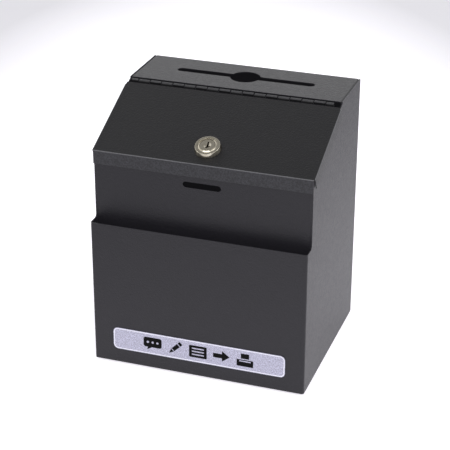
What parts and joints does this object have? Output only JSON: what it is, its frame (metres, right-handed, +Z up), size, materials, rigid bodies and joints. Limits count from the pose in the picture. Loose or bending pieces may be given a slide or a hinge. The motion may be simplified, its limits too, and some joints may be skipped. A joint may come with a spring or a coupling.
{
  "type": "locking suggestion box",
  "caption": "Folded sheet-steel suggestion box with a sloping hinged lid, a key-operated cam lock, a letter slot in the top and an open card pocket in front.",
  "frame": {"origin": "on the surface that the feet stand on, under the middle of the box", "axes": "+X to the right of a person facing the box, +Y towards its back, +Z up"},
  "size_m": [0.2192, 0.1772, 0.2611],
  "materials": {
    "case_paint": "charcoal powder coat, fine wrinkle",
    "lid_paint": "charcoal powder coat, fine wrinkle",
    "hinge_paint": "charcoal powder coat, worn at the knuckles",
    "foot_rubber": "matte",
    "label_film": "satin silver film",
    "lock_nickel": "nickel plate",
    "zinc_steel": "bright zinc plate",
    "wafer_brass": "stamped"
  },
  "bodies": {
    "box": {"side_and_pocket_wrap": "case_paint", "back_and_top_panel": "case_paint", "bottom_panel": "case_paint", "inner_front_panel": "case_paint", "foot_front_left": "foot_rubber", "foot_front_right": "foot_rubber", "foot_back_left": "foot_rubber", "foot_back_right": "foot_rubber", "pocket_label": "label_film", "hinge_box_leaf": "hinge_paint", "hinge_pin": "hinge_paint"},
    "lid": {"lid_panel": "lid_paint", "hinge_lid_leaf": "hinge_paint", "lock_housing": "lock_nickel", "lock_washer": "zinc_steel", "lock_nut": "zinc_steel"},
    "lock_barrel": {"lock_plug": "lock_nickel", "lock_wafer_1": "wafer_brass", "lock_wafer_2": "wafer_brass", "lock_wafer_3": "wafer_brass", "lock_wafer_4": "wafer_brass", "lock_wafer_5": "wafer_brass", "lock_cam": "zinc_steel", "cam_washer": "zinc_steel", "cam_screw": "zinc_steel"}
  },
  "joints": [
    {"name": "lid_hinge", "type": "hinge", "parent": "box", "child": "lid", "pos_m": [0, 0.01783, 0.2583], "axis": [-1, 0, 0], "range_deg": [0, 122]},
    {"name": "lock_turn", "type": "hinge", "parent": "lid", "child": "lock_barrel", "pos_m": [0, -0.05504, 0.22836], "axis": [0, 0.3971, -0.9178], "range_deg": [0, 90]}
  ]
}
